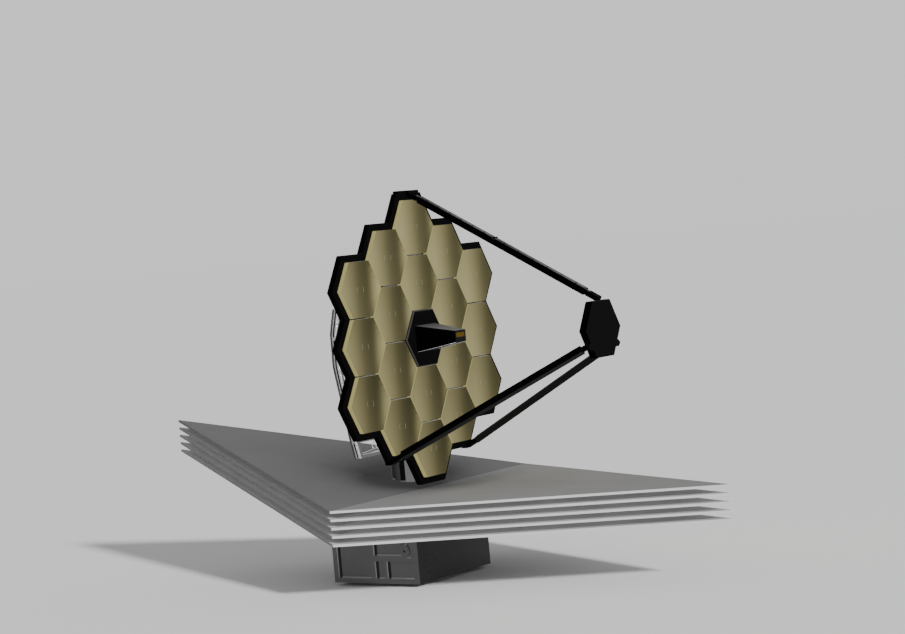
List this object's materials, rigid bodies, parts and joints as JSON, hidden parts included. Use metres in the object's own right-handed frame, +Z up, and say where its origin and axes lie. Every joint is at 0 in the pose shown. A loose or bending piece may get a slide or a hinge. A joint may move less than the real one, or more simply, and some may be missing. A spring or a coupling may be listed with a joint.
{
  "type": "space telescope",
  "caption": "Infrared space telescope with a gold segmented mirror on folding wings, a folding tripod for its secondary mirror, and a layered kite sunshield over a box bus.",
  "frame": {"origin": "centre of the adapter ring's bottom face, on the floor", "axes": "+X the way the telescope looks, from the primary mirror to the secondary; +Y to its left; +Z up, from the bus to the mirrors"},
  "size_m": [16.342, 8.146, 9.452],
  "materials": {
    "ring_metal": "machined",
    "bus_panel": "satin dark grey",
    "column_composite": "dark composite",
    "boom_composite": "dark composite tube",
    "tower_wrap": "dark blanket over a tube",
    "backplane_black": "black composite",
    "baffle_black": "black baffle coating",
    "strut_black": "black composite tube",
    "amber_window": "amber coated",
    "foil_wrap": "crinkled foil",
    "silver_frame": "bright",
    "gold_mirror": "polished, gold coated",
    "shield_film": "coated film"
  },
  "bodies": {
    "observatory": {"adapter_ring": "ring_metal", "bus": "bus_panel", "shield_column": "column_composite", "fore_pallet": "boom_composite", "aft_pallet": "boom_composite", "mid_boom_left": "boom_composite", "mid_boom_right": "boom_composite", "tower": "tower_wrap", "backplane_centre": "backplane_black", "bezel": "baffle_black", "aft_optics": "baffle_black", "optics_window": "amber_window", "instrument_box": "foil_wrap", "instrument_hoop": "silver_frame", "segment_04": "gold_mirror", "segment_05": "gold_mirror", "segment_06": "gold_mirror", "segment_07": "gold_mirror", "segment_08": "gold_mirror", "segment_09": "gold_mirror", "segment_10": "gold_mirror", "segment_11": "gold_mirror", "segment_12": "gold_mirror", "segment_13": "gold_mirror", "segment_14": "gold_mirror", "segment_15": "gold_mirror", "shield_layer_1": "shield_film", "shield_layer_2": "shield_film", "shield_layer_3": "shield_film", "shield_layer_4": "shield_film", "shield_layer_5": "shield_film"},
    "wing_left": {"backplane_left": "backplane_black", "segment_16": "gold_mirror", "segment_17": "gold_mirror", "segment_18": "gold_mirror"},
    "wing_right": {"backplane_right": "backplane_black", "segment_01": "gold_mirror", "segment_02": "gold_mirror", "segment_03": "gold_mirror"},
    "strut_inner": {"upper_strut_inner": "strut_black"},
    "strut_outer": {"upper_strut_outer": "strut_black"},
    "secondary": {"secondary_housing": "baffle_black", "secondary_mirror": "gold_mirror"},
    "lower_bipod": {"lower_strut_left": "strut_black", "lower_strut_right": "strut_black"}
  },
  "joints": [
    {"name": "wing_left_fold", "type": "hinge", "parent": "observatory", "child": "wing_left", "pos_m": [0.666, 1.7537, 5.858], "axis": [0, 0, 1], "range_deg": [0, 103]},
    {"name": "wing_right_fold", "type": "hinge", "parent": "observatory", "child": "wing_right", "pos_m": [0.666, -1.7537, 5.858], "axis": [0, 0, -1], "range_deg": [0, 103]},
    {"name": "tripod_fold", "type": "hinge", "parent": "observatory", "child": "strut_inner", "pos_m": [1.1, 0, 9.251], "axis": [0, 1, 0], "range_deg": [0, 52]},
    {"name": "knee_turn", "type": "hinge", "parent": "strut_inner", "child": "strut_outer", "pos_m": [3.29138, 0, 8.13865], "axis": [0, -1, 0], "range_deg": [0, 145]},
    {"name": "secondary_turn", "type": "hinge", "parent": "strut_outer", "child": "secondary", "pos_m": [5.77, 0, 6.686], "axis": [0, 1, 0], "range_deg": [0, 95]},
    {"name": "bipod_fold", "type": "hinge", "parent": "observatory", "child": "lower_bipod", "pos_m": [1.1, 0, 3.141], "axis": [0, -1, 0], "range_deg": [0, 43.5]}
  ],
  "couplings": [
    {"joint": "knee_turn", "follows": "tripod_fold", "ratio": 2.7735},
    {"joint": "secondary_turn", "follows": "tripod_fold", "ratio": 1.8175},
    {"joint": "bipod_fold", "follows": "tripod_fold", "ratio": 0.82633}
  ]
}
